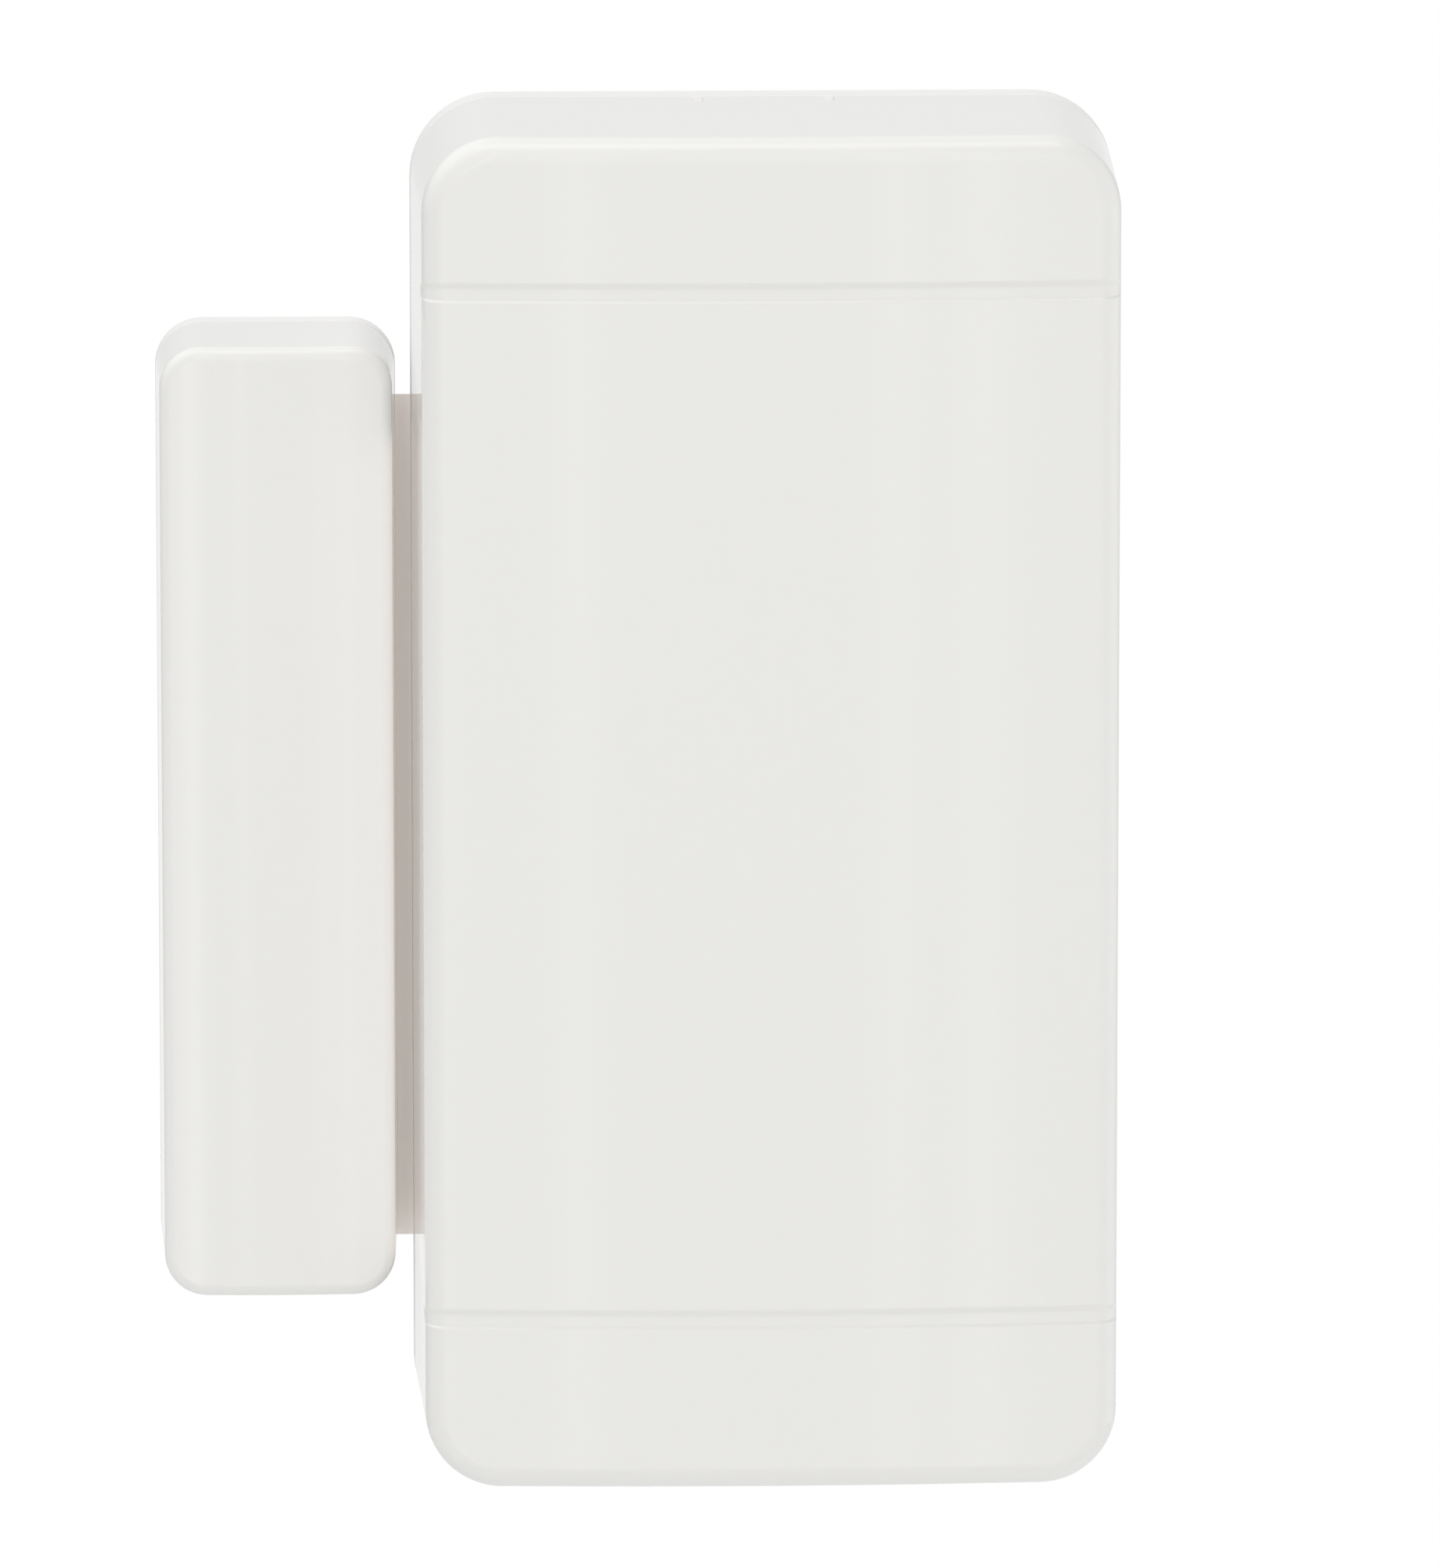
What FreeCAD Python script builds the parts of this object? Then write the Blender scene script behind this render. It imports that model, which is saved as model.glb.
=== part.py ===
import FreeCAD, Part
import math
import os

# A wireless door and window contact: a transmitter case and, at its left, the magnet case.
# X runs to the right and Z up as seen from the room. Both backs lie in the plane Y = 0,
# and the crowned fronts look along -Y. The origin is the middle of the transmitter's back.
# All sizes are in millimetres.

Vector = FreeCAD.Vector
along_x = Vector(1, 0, 0)
along_z = Vector(0, 0, 1)
to_front = Vector(0, -1, 0)

# Transmitter case
body_width = 36.0
body_height = 70.0
body_depth = 17.0
body_corner = 4.3
body_edge = 1.2
body_crown_drop = 0.9

# Magnet case
magnet_case_width = 12.3
magnet_case_height = 49.5
magnet_case_depth = 10.2
magnet_case_corner = 2.4
magnet_case_edge = 0.65
magnet_crown_drop = 0.45
case_spacing = 0.75
magnet_case_drop = 1.3

# Moulding
wall_draft = 1.6
cover_wall = 1.6
magnet_cover_wall = 1.4
inner_edge = 0.4
parting_chamfer = 0.15
back_chamfer = 0.4
lip_clearance = 0.15

# Grooves across the front
upper_groove_height = 27.1
lower_groove_height = -25.4
groove_depth = 0.25
groove_upper_run = 0.03
groove_floor = 0.6
groove_lip_radius = 0.3
groove_side_fade = 0.12
cut_margin = 0.3

# Back plate
plate_rim = 2.2
plate_floor = 1.6
plate_lip = 1.2
plate_lip_height = 3.4
magnet_plate_rim = 1.8
magnet_plate_floor = 1.4
magnet_plate_lip = 0.9
magnet_lip_height = 2.6

# Snap fits, and the plate's two keys in the cover's top edge
catch_width = 4.0
catch_reach = 0.6
catch_thickness = 1.2
catch_clearance = 0.2
catch_setback = 1.1
bottom_catch_offset = 8.0
key_width = 0.6
key_length = 1.7
key_thickness = 1.1
key_root = 0.6
key_sink = 0.02
key_clearance = 0.1
key_spacing = 6.7

# Wall screw holes
screw_hole_diameter = 3.8
screw_sink_diameter = 6.4
screw_sink_depth = 0.9
screw_hole_spacing = 57.0
magnet_hole_diameter = 3.2
magnet_sink_diameter = 5.2
magnet_sink_depth = 0.7
magnet_hole_spacing = 38.0

# Circuit board, an L whose foot is the wide top
board_thickness = 1.2
board_standoff = 3.0
board_side_gap = 0.55
board_end_distance = 10.6
board_step_gap = 2.3
board_corner = 1.0
post_diameter = 3.8
post_inset = 2.5
pin_diameter = 1.4
pin_length = 0.6
pin_clearance = 0.1
board_screw_hole = 2.2

# Board screws
board_screw_shank = 1.9
board_screw_length = 4.0
board_screw_head = 3.8
board_screw_head_height = 1.3
board_screw_bevel = 0.6
screw_recess_width = 0.5
screw_recess_length = 2.4
screw_recess_depth = 0.6
pilot_clearance = 0.05

# Cell and its contacts
cell_diameter = 10.3
cell_length = 28.5
cell_nub_diameter = 5.5
cell_nub_height = 0.9
cell_edge = 0.6
cell_floor_gap = 0.3
cell_side_gap = 0.3
cell_clearance = 0.7
cell_bay_width = 13.1
cell_end_distance = 14.8
spring_length = 4.0
spring_strip = 0.35
spring_width = 3.0
spring_foot_length = 1.2
terminal_thickness = 0.4
terminal_width = 8.4
terminal_height = 8.0
tail_width = 2.0
tail_length = 3.6
tail_clearance = 0.2
end_wall = 1.2
cradle_rib = 1.2
cradle_rib_spacing = 16.0

# Reed switch
reed_glass_diameter = 2.2
reed_glass_length = 14.0
reed_glass_wall = 0.35
reed_lead_width = 0.55
reed_lead_thickness = 0.25
reed_lead_bend = 0.22
reed_bevel = 0.5
reed_inner_bevel = 0.25
reed_seal_length = 0.7
reed_blade_width = 1.0
reed_blade_thickness = 0.16
reed_blade_overlap = 1.4
reed_contact_gap = 0.12
reed_span = 20.0
reed_lift = 0.5
reed_edge_distance = 2.2
seal_clearance = 0.01

# Parts on the board
chip_width = 3.9
chip_length = 9.9
chip_thickness = 1.45
chip_standoff = 0.15
chip_lead_count = 8
chip_lead_pitch = 1.27
chip_lead_width = 0.4
chip_lead_thickness = 0.2
chip_lead_reach = 1.05
chip_mark_diameter = 1.0
chip_mark_depth = 0.1
chip_mark_inset = 1.0
can_diameter = 8.4
can_flange = 9.3
can_flange_thickness = 0.5
can_height = 3.4
can_edge = 0.5
capacitor_diameter = 5.0
capacitor_height = 5.4
capacitor_foot = 5.3
capacitor_foot_height = 0.8
capacitor_waist_height = 1.7
capacitor_waist_depth = 0.2
led_diameter = 3.0
led_flange = 3.7
led_flange_height = 0.9
led_height = 5.2
led_bevel = 0.8
led_stand = 3.4
led_lead = 0.5
led_lead_pitch = 2.54
aerial_width = 1.0
aerial_strip = 0.4
aerial_run = 6.0
aerial_lift = 4.5
aerial_bend = 1.6
small_part_length = 2.0
small_part_width = 1.25
resistor_height = 0.5
resistor_pitch = 2.3
small_capacitor_height = 0.85
small_capacitor_pitch = 2.2
small_capacitor_count = 2
package_lead_reach = 0.6
package_lead_thickness = 0.4

# Where they stand, measured from the right side of the board's leg, its ends and its step
chip_from_side = 4.6
chip_z = -11.0
can_from_side = 7.0
can_from_top = 11.5
capacitor_from_side = 5.4
capacitor_from_top = 3.8
led_from_side = 0.8
aerial_from_side = 5.0
aerial_rise = 1.5
transistor_from_side = 2.0
transistor_from_step = 1.8
regulator_from_side = 9.6
regulator_from_bottom = 6.4
right_resistors_from_side = 2.4
left_resistors_from_side = 7.4
lowest_resistor_z = -3.3
right_resistor_count = 4
left_resistor_count = 3
capacitors_from_cell = 1.75
capacitors_from_step = 1.3

# Two moulded packages, with their leads as a side and an offset along Z
transistor = {
    "width": 1.3,
    "length": 2.9,
    "height": 1.0,
    "leads": [(-1, -0.95), (-1, 0.95), (1, 0)],
}
regulator = {
    "width": 2.5,
    "length": 3.4,
    "height": 1.5,
    "leads": [(-1, -1.1), (-1, 0), (-1, 1.1), (1, 0)],
}

# Stops inside the covers
stop_diameter = 3.0
stop_gap = 0.3
stop_gusset = 0.9
stop_gusset_span = 7.0
cell_rib_thickness = 1.2
cell_rib_width = 9.0
led_window_diameter = 3.6
led_window_skin = 0.8

# Magnet
bar_width = 5.6
bar_thickness = 5.0
bar_length = 30.0
bar_chamfer = 0.3
bar_gap = 0.1
rail_thickness = 0.9
rail_height = 3.2
bar_stop_width = 3.0
bar_hold_gap = 0.3


def crown_radius(width, drop):
    half = width / 2
    return (half ** 2 + drop ** 2) / (2 * drop)


transmitter = {
    "x": 0.0,
    "z": 0.0,
    "width": body_width,
    "height": body_height,
    "depth": body_depth,
    "corner": body_corner,
    "edge": body_edge,
    "crown": crown_radius(body_width, body_crown_drop),
    "wall": cover_wall,
    "rim": plate_rim,
    "floor": plate_floor,
    "lip": plate_lip,
    "lip_height": plate_lip_height,
}

magnet_unit = {
    "x": -(body_width / 2 + case_spacing + magnet_case_width / 2),
    "z": -magnet_case_drop,
    "width": magnet_case_width,
    "height": magnet_case_height,
    "depth": magnet_case_depth,
    "corner": magnet_case_corner,
    "edge": magnet_case_edge,
    "crown": crown_radius(magnet_case_width, magnet_crown_drop),
    "wall": magnet_cover_wall,
    "rim": magnet_plate_rim,
    "floor": magnet_plate_floor,
    "lip": magnet_plate_lip,
    "lip_height": magnet_lip_height,
}

draft_slope = math.tan(math.radians(wall_draft))

# Levels measured from the wall towards the room
board_back = plate_floor + board_standoff
board_front = board_back + board_thickness
cell_axis = plate_floor + cell_floor_gap + cell_diameter / 2

# Places inside the transmitter
board_half_width = body_width / 2 - cover_wall - lip_clearance - plate_lip - board_side_gap
board_top = body_height / 2 - board_end_distance
board_bottom = -board_top
board_leg_right = board_half_width - cell_bay_width
cell_x = board_leg_right + cell_clearance + cell_diameter / 2
cell_bottom = cell_end_distance - body_height / 2
cell_top = cell_bottom + cell_length
board_step_height = cell_top + board_step_gap
spring_foot = cell_bottom - spring_length
lower_wall_face = spring_foot - terminal_thickness
upper_wall_face = cell_top + terminal_thickness
reed_x = -board_half_width + reed_edge_distance
reed_z = -magnet_case_drop
reed_axis = board_front + reed_lift + reed_glass_diameter / 2
chip_x = board_leg_right - chip_from_side
can_x = board_leg_right - can_from_side
can_z = board_top - can_from_top
capacitor_x = board_leg_right - capacitor_from_side
capacitor_z = board_top - capacitor_from_top
foot_middle = (board_top + board_step_height) / 2
led_x = board_leg_right - led_from_side
led_z = foot_middle
aerial_x = board_leg_right + aerial_from_side
aerial_z = foot_middle + aerial_rise


def box(x_from, x_to, front_from, front_to, z_from, z_to):
    # front_from and front_to count from the wall towards the room
    corner = Vector(x_from, -front_to, z_from)
    return Part.makeBox(x_to - x_from, front_to - front_from, z_to - z_from, corner)


def peg(diameter, x, z, front_from, front_to):
    start = Vector(x, -front_from, z)
    return Part.makeCylinder(diameter / 2, front_to - front_from, start, to_front)


def fused(shapes):
    solid = shapes[0].multiFuse(shapes[1:])
    return solid.removeSplitter()


def rounded_outline(x, z, width, height, corner, y):
    span_x = width / 2 - corner
    span_z = height / 2 - corner
    arcs = []
    for side_x, side_z, start in ((1, 1, 0), (-1, 1, 90), (-1, -1, 180), (1, -1, 270)):
        centre = Vector(x + side_x * span_x, y, z + side_z * span_z)
        points = []
        for turn in (0, 45, 90):
            angle = math.radians(start + turn)
            points.append(centre + Vector(corner * math.cos(angle), 0, corner * math.sin(angle)))
        arcs.append(points)
    edges = []
    for index, points in enumerate(arcs):
        following = arcs[(index + 1) % len(arcs)]
        edges.append(Part.Arc(*points).toShape())
        edges.append(Part.makeLine(points[-1], following[0]))
    return Part.Wire(edges)


def case_outline(case, inset, front):
    # The walls lean in towards the front, and an inset outline keeps the same lean
    shrink = inset + front * draft_slope
    width = case["width"] - 2 * shrink
    height = case["height"] - 2 * shrink
    # No corner inside is sharper than the mould allows
    corner = max(case["corner"] - shrink, inner_edge)
    return rounded_outline(case["x"], case["z"], width, height, corner, -front)


def drafted_block(case, inset, front_from, front_to):
    outlines = [case_outline(case, inset, front_from), case_outline(case, inset, front_to)]
    return Part.makeLoft(outlines, True, True)


def crown_drum(case, inset):
    # A large drum upright behind the front, whose near side is the crowned face
    radius = case["crown"] - inset
    centre_y = case["crown"] - case["depth"]
    base = Vector(case["x"], centre_y, case["z"] - case["height"])
    return Part.makeCylinder(radius, 2 * case["height"], base)


def crown_edges(form, radius):
    for face in form.Faces:
        surface = face.Surface
        if isinstance(surface, Part.Cylinder) and abs(surface.Radius - radius) < 0.01:
            return face.Edges
    return []


def housing_form(case, inset, front_from):
    block = drafted_block(case, inset, front_from, case["depth"] - inset)
    return block.common(crown_drum(case, inset))


def edges_at(shape, front):
    level = []
    for edge in shape.Edges:
        bounds = edge.BoundBox
        if abs(bounds.YMin + front) < 0.001 and abs(bounds.YMax + front) < 0.001:
            level.append(edge)
    return level


def crown_level(case, x, inset):
    # How far the crowned face, or a face inset behind it, stands from the wall at this x
    radius = case["crown"] - inset
    reach = math.sqrt(radius ** 2 - (x - case["x"]) ** 2)
    return reach - case["crown"] + case["depth"]


def cover_shell(case):
    outer = housing_form(case, 0, case["rim"])
    outer = outer.makeFillet(case["edge"], crown_edges(outer, case["crown"]))
    outer = outer.makeChamfer(parting_chamfer, edges_at(outer, case["rim"]))
    inner = housing_form(case, case["wall"], case["rim"] - cut_margin)
    return outer.cut(inner)


def plate_tray(case):
    base = drafted_block(case, 0, 0, case["rim"])
    base = base.makeChamfer(back_chamfer, edges_at(base, 0))
    base = base.makeChamfer(parting_chamfer, edges_at(base, case["rim"]))
    lip_outside = case["wall"] + lip_clearance
    lip_inside = lip_outside + case["lip"]
    lip_top = case["rim"] + case["lip_height"]
    lip = drafted_block(case, lip_outside, case["floor"], lip_top)
    hollow = drafted_block(case, lip_inside, case["floor"], lip_top + cut_margin)
    return fused([base, lip]).cut(hollow)


def catch_front(case):
    return case["rim"] + case["lip_height"] - catch_setback


def catch(case, x, side):
    # A wedge inside the end wall: square towards the room, where it holds, and sloped behind
    front_level = catch_front(case)
    wall_z = case["height"] / 2 - case["wall"] - (front_level - catch_thickness) * draft_slope
    reach = lip_clearance + catch_reach
    outline = []
    for out, front in (
        (cut_margin, front_level),
        (-reach, front_level),
        (-reach, front_level - catch_thickness / 2),
        (0, front_level - catch_thickness),
        (cut_margin, front_level - catch_thickness),
    ):
        outline.append(Vector(x - catch_width / 2, -front, case["z"] + side * (wall_z + out)))
    face = Part.Face(Part.makePolygon(outline + outline[:1]))
    return face.extrude(along_x * catch_width)


def catch_window(case, x, side):
    # The gap in the plate's lip that the wedge drops into
    outer = case["height"] / 2 - case["wall"]
    inner = outer - lip_clearance - catch_reach - catch_clearance
    wide = catch_width / 2 + catch_clearance
    front_to = catch_front(case) + catch_clearance
    front_from = front_to - catch_thickness - 2 * catch_clearance
    z_near = case["z"] + side * inner
    z_far = case["z"] + side * outer
    return box(x - wide, x + wide, front_from, front_to, min(z_near, z_far), max(z_near, z_far))


def groove_spine(case, z):
    # Side wall, edge round, crowned face, edge round and side wall, as one smooth line.
    # It stands off the side walls, so the groove fades where it turns the edge.
    lean = math.radians(wall_draft)
    outward = Vector(math.cos(lean), -math.sin(lean), 0)
    forward = Vector(-math.sin(lean), -math.cos(lean), 0)
    centre = Vector(0, case["crown"] - case["depth"], 0)
    foot = Vector(case["width"] / 2 + groove_side_fade, 0, 0)
    round_radius = case["edge"] + groove_side_fade
    base = foot - outward * round_radius
    from_centre = base - centre
    reach = case["crown"] - round_radius
    half_b = from_centre.dot(forward)
    spare = from_centre.dot(from_centre) - reach ** 2
    travel = -half_b + math.sqrt(half_b ** 2 - spare)
    round_centre = base + forward * travel
    on_wall = round_centre + outward * round_radius
    to_crown = (round_centre - centre).normalize()
    on_crown = centre + to_crown * case["crown"]
    between = (outward + to_crown).normalize()
    on_round = round_centre + between * round_radius
    right = [foot, on_wall, on_round, on_crown]
    right = [point + Vector(0, 0, z) for point in right]
    left = [Vector(-point.x, point.y, point.z) for point in right]
    front = Vector(0, -case["depth"], z)
    edges = [
        Part.makeLine(right[0], right[1]),
        Part.Arc(right[1], right[2], right[3]).toShape(),
        Part.Arc(right[3], front, left[3]).toShape(),
        Part.Arc(left[3], left[2], left[1]).toShape(),
        Part.makeLine(left[1], left[0]),
    ]
    return Part.Wire(edges), outward


def groove(case, z):
    # A square upper side, a flat floor and a small round lip below
    spine, outward = groove_spine(case, z)
    start = Vector(case["width"] / 2 + groove_side_fade, 0, z)
    lip_drop = math.sqrt(groove_lip_radius ** 2 - (groove_lip_radius - groove_depth) ** 2)
    lip_turn = math.asin(lip_drop / groove_lip_radius) / 2
    lip_middle = groove_lip_radius * (1 - math.cos(lip_turn))
    floor_z = -groove_floor
    lip_end_z = floor_z - lip_drop

    def at(depth, height):
        return start - outward * depth + Vector(0, 0, height)

    top = at(0, groove_upper_run)
    bottom = at(groove_depth, 0)
    lip_start = at(groove_depth, floor_z)
    lip_point = at(lip_middle, lip_end_z + groove_lip_radius * math.sin(lip_turn))
    lip_end = at(0, lip_end_z)
    outer_low = at(-cut_margin, lip_end_z)
    outer_high = at(-cut_margin, groove_upper_run)
    profile = Part.Wire([
        Part.makeLine(outer_high, top),
        Part.makeLine(top, bottom),
        Part.makeLine(bottom, lip_start),
        Part.Arc(lip_start, lip_point, lip_end).toShape(),
        Part.makeLine(lip_end, outer_low),
        Part.makeLine(outer_low, outer_high),
    ])
    pipe = Part.BRepOffsetAPI.MakePipeShell(spine)
    pipe.setBiNormalMode(along_z)
    pipe.add(profile)
    pipe.build()
    pipe.makeSolid()
    return pipe.shape()


def key_notch(x):
    # A notch through the top wall, open at the rim, for one of the plate's keys
    wide = key_width / 2 + key_clearance
    top = body_height / 2
    end = plate_rim + key_length + key_clearance
    return box(x - wide, x + wide, 0, end, top - 2 * cover_wall, top)


def plate_key(x):
    # A short tongue on the plate's rim that fills its notch and keeps the cover in line
    wide = key_width / 2
    end = plate_rim + key_length
    top = body_height / 2 - end * draft_slope - key_sink
    return box(x - wide, x + wide, plate_rim - key_root, end, top - key_thickness, top)


def stop_post(x, z, tip_level):
    # A post from the inside of the front, with a cross of gussets at its root
    root = crown_level(transmitter, x, cover_wall) + cut_margin
    parts = [peg(stop_diameter, x, z, tip_level, root)]
    gusset_tip = tip_level + stop_diameter
    half_span = stop_gusset_span / 2
    half_web = stop_gusset / 2
    for wide, tall in ((half_span, half_web), (half_web, half_span)):
        slab = box(x - wide, x + wide, gusset_tip, root, z - tall, z + tall)
        parts.append(slab)
    return fused(parts)


def post_places():
    left = -board_half_width + post_inset
    right = board_half_width - post_inset
    upper = board_top - post_inset
    lower = board_bottom + post_inset
    screwed = [(right, upper), (left, lower)]
    pinned = [(left, upper), (board_leg_right - post_inset, lower)]
    return screwed, pinned


def front_cover():
    shell = cover_shell(transmitter)
    for z in (upper_groove_height, lower_groove_height):
        shell = shell.cut(groove(transmitter, z))
    for side in (-1, 1):
        shell = shell.cut(key_notch(side * key_spacing / 2))
    window_front = crown_level(transmitter, led_x, led_window_skin)
    shell = shell.cut(peg(led_window_diameter, led_x, led_z, board_front, window_front))
    added = [catch(transmitter, 0, 1)]
    for side in (-1, 1):
        added.append(catch(transmitter, side * bottom_catch_offset, -1))
    screwed, pinned = post_places()
    for x, z in pinned:
        added.append(stop_post(x, z, board_front + pin_length + stop_gap))
    added.append(cell_rib())
    return fused([shell] + added)


def cell_rib():
    # A rib across the inside of the front, hollowed to hold the cell down
    root = crown_level(transmitter, cell_x, cover_wall) + cut_margin
    middle = cell_bottom + cell_length / 2
    half = cell_rib_width / 2
    low = middle - cell_rib_thickness / 2
    rib = box(cell_x - half, cell_x + half, cell_axis, root, low, low + cell_rib_thickness)
    radius = cell_diameter / 2 + cell_side_gap
    bed = Part.makeCylinder(radius, 2 * cell_rib_thickness, Vector(cell_x, -cell_axis, low - cut_margin))
    return rib.cut(bed)


def cell_cradle():
    # Two ribs hollowed for the cell, and an end wall behind each contact
    half = cell_diameter / 2 + end_wall / 2
    middle = cell_bottom + cell_length / 2
    radius = cell_diameter / 2 + cell_side_gap
    bed = Part.makeCylinder(radius, cell_length, Vector(cell_x, -cell_axis, cell_bottom))
    parts = []
    for side in (-1, 1):
        low = middle + side * cradle_rib_spacing / 2 - cradle_rib / 2
        rib = box(cell_x - half, cell_x + half, plate_floor, cell_axis, low, low + cradle_rib)
        parts.append(rib.cut(bed))
    wall_top = plate_floor + terminal_height + end_wall / 2
    half = terminal_width / 2 + end_wall
    lower = box(cell_x - half, cell_x + half, plate_floor, wall_top,
                lower_wall_face - end_wall, lower_wall_face)
    upper = box(cell_x - half, cell_x + half, plate_floor, wall_top,
                upper_wall_face, upper_wall_face + end_wall)
    notch_half = tail_width / 2 + tail_clearance
    notch = box(cell_x - notch_half, cell_x + notch_half, board_front - tail_clearance,
                wall_top + cut_margin, upper_wall_face - cut_margin, upper_wall_face + 2 * end_wall)
    parts.append(lower)
    parts.append(upper.cut(notch))
    # Cheeks that keep the contact plates from sliding sideways
    for side in (-1, 1):
        near = cell_x + side * (terminal_width / 2 + pilot_clearance)
        far = cell_x + side * (terminal_width / 2 + end_wall)
        for z_low, z_high in ((lower_wall_face, spring_foot), (cell_top, upper_wall_face)):
            cheek_top = board_back
            cheek = box(min(near, far), max(near, far), plate_floor, cheek_top, z_low, z_high)
            parts.append(cheek)
    return parts


def board_posts():
    screwed, pinned = post_places()
    parts = []
    for x, z in screwed + pinned:
        parts.append(peg(post_diameter, x, z, plate_floor, board_back))
    for x, z in pinned:
        parts.append(peg(pin_diameter, x, z, plate_floor, board_front + pin_length))
    return parts


def sunk_hole(x, z, diameter, sink_diameter, sink_depth, floor):
    # A through hole with a cone for a countersunk head, sunk from the inside
    hole = peg(diameter, x, z, -cut_margin, floor + cut_margin)
    start = Vector(x, -(floor - sink_depth), z)
    cone = Part.makeCone(diameter / 2, sink_diameter / 2, sink_depth, start, to_front)
    mouth = peg(sink_diameter, x, z, floor, floor + cut_margin)
    return [hole, cone, mouth]


def back_plate():
    tray = plate_tray(transmitter)
    windows = [catch_window(transmitter, 0, 1)]
    for side in (-1, 1):
        windows.append(catch_window(transmitter, side * bottom_catch_offset, -1))
    keys = [plate_key(side * key_spacing / 2) for side in (-1, 1)]
    plate = fused([tray] + keys + board_posts() + cell_cradle())
    screwed, pinned = post_places()
    pilot = board_screw_shank + 2 * pilot_clearance
    for x, z in screwed:
        windows.append(peg(pilot, x, z, plate_floor, board_back + cut_margin))
    for side in (-1, 1):
        z = side * screw_hole_spacing / 2
        windows += sunk_hole(0, z, screw_hole_diameter, screw_sink_diameter,
                             screw_sink_depth, plate_floor)
    for window in windows:
        plate = plate.cut(window)
    return plate


def circuit_board():
    step = board_step_height
    right = board_half_width
    outline = [
        Vector(-right, 0, board_bottom),
        Vector(board_leg_right, 0, board_bottom),
        Vector(board_leg_right, 0, step),
        Vector(right, 0, step),
        Vector(right, 0, board_top),
        Vector(-right, 0, board_top),
    ]
    outline = [point + Vector(0, -board_back, 0) for point in outline]
    face = Part.Face(Part.makePolygon(outline + outline[:1]))
    board = face.extrude(to_front * board_thickness)
    corners = [edge for edge in board.Edges if edge.Length < board_thickness + 0.001]
    board = board.makeFillet(board_corner, corners)
    screwed, pinned = post_places()
    holes = []
    for x, z in screwed:
        holes.append((board_screw_hole, x, z))
    for x, z in pinned:
        holes.append((pin_diameter + 2 * pin_clearance, x, z))
    slots = []
    for side in (-1, 1):
        holes.append((led_lead + 2 * pin_clearance, led_x + side * led_lead_pitch / 2, led_z))
        slots.append((reed_lead_width, reed_lead_thickness, reed_x, reed_z + side * reed_span / 2))
        slots.append((aerial_strip, aerial_width, aerial_x + side * aerial_run / 2, aerial_z))
    behind = board_back - cut_margin
    ahead = board_front + cut_margin
    for diameter, x, z in holes:
        board = board.cut(peg(diameter, x, z, behind, ahead))
    for width, height, x, z in slots:
        wide = width / 2 + pin_clearance
        tall = height / 2 + pin_clearance
        board = board.cut(box(x - wide, x + wide, behind, ahead, z - tall, z + tall))
    return board


def board_screws():
    screwed, pinned = post_places()
    screws = []
    for x, z in screwed:
        tip = board_front - board_screw_length
        shank = peg(board_screw_shank, x, z, tip, board_front)
        head = peg(board_screw_head, x, z, board_front, board_front + board_screw_head_height)
        front_rim = edges_at(head, board_front + board_screw_head_height)
        head = head.makeChamfer(board_screw_bevel, front_rim)
        screw = fused([shank, head])
        head_top = board_front + board_screw_head_height
        long_half = screw_recess_length / 2
        thin_half = screw_recess_width / 2
        for wide, tall in ((long_half, thin_half), (thin_half, long_half)):
            screw = screw.cut(box(x - wide, x + wide, head_top - screw_recess_depth,
                                  head_top + cut_margin, z - tall, z + tall))
        screws.append(screw)
    return Part.makeCompound(screws)


def cell():
    # A small twelve volt cylinder with bevelled ends and its raised positive end up
    radius = cell_diameter / 2
    body_top = cell_length - cell_nub_height
    nub = cell_nub_diameter / 2
    outline = [
        Vector(0, 0, 0),
        Vector(radius - cell_edge, 0, 0),
        Vector(radius, 0, cell_edge),
        Vector(radius, 0, body_top - cell_edge),
        Vector(radius - cell_edge, 0, body_top),
        Vector(nub, 0, body_top),
        Vector(nub, 0, cell_length),
        Vector(0, 0, cell_length),
    ]
    solid = Part.Face(Part.makePolygon(outline + outline[:1])).revolve(Vector(0, 0, 0), along_z, 360)
    solid.translate(Vector(cell_x, -cell_axis, cell_bottom))
    return solid


def cell_spring():
    # A bowed strip between its contact plate and the cell's flat end, with its feet turned in
    outer = spring_length
    inner = spring_length - spring_strip
    start = Vector(cell_x, -(cell_axis - spring_width / 2), spring_foot)
    ring = Part.makeCylinder(outer, spring_width, start, to_front)
    ring = ring.cut(Part.makeCylinder(inner, spring_width, start, to_front))
    front_from = cell_axis - spring_width / 2
    front_to = cell_axis + spring_width / 2
    bow = ring.common(box(cell_x - outer, cell_x + outer, front_from, front_to,
                          spring_foot, cell_bottom))
    parts = [bow]
    for side in (-1, 1):
        far = cell_x + side * (inner + spring_strip / 2)
        near = far - side * spring_foot_length
        parts.append(box(min(near, far), max(near, far), front_from, front_to,
                         spring_foot, spring_foot + spring_strip))
    return fused(parts)


def contact_plate(z_from):
    half = terminal_width / 2
    top = plate_floor + terminal_height
    return box(cell_x - half, cell_x + half, plate_floor, top, z_from, z_from + terminal_thickness)


def negative_contact():
    # The plate behind the spring, with a tail that reaches over to the board
    plate = contact_plate(lower_wall_face)
    tail_end = board_leg_right - tail_length
    tail = box(tail_end, cell_x, board_front, board_front + tail_width,
               lower_wall_face, spring_foot)
    return fused([plate, tail])


def positive_contact():
    # The plate against the cell's raised end, with a tail that lies on the board
    plate = contact_plate(cell_top)
    half = tail_width / 2
    tail = box(cell_x - half, cell_x + half, board_front, board_front + terminal_thickness,
               cell_top, board_step_height + tail_length)
    return fused([plate, tail])


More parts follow.
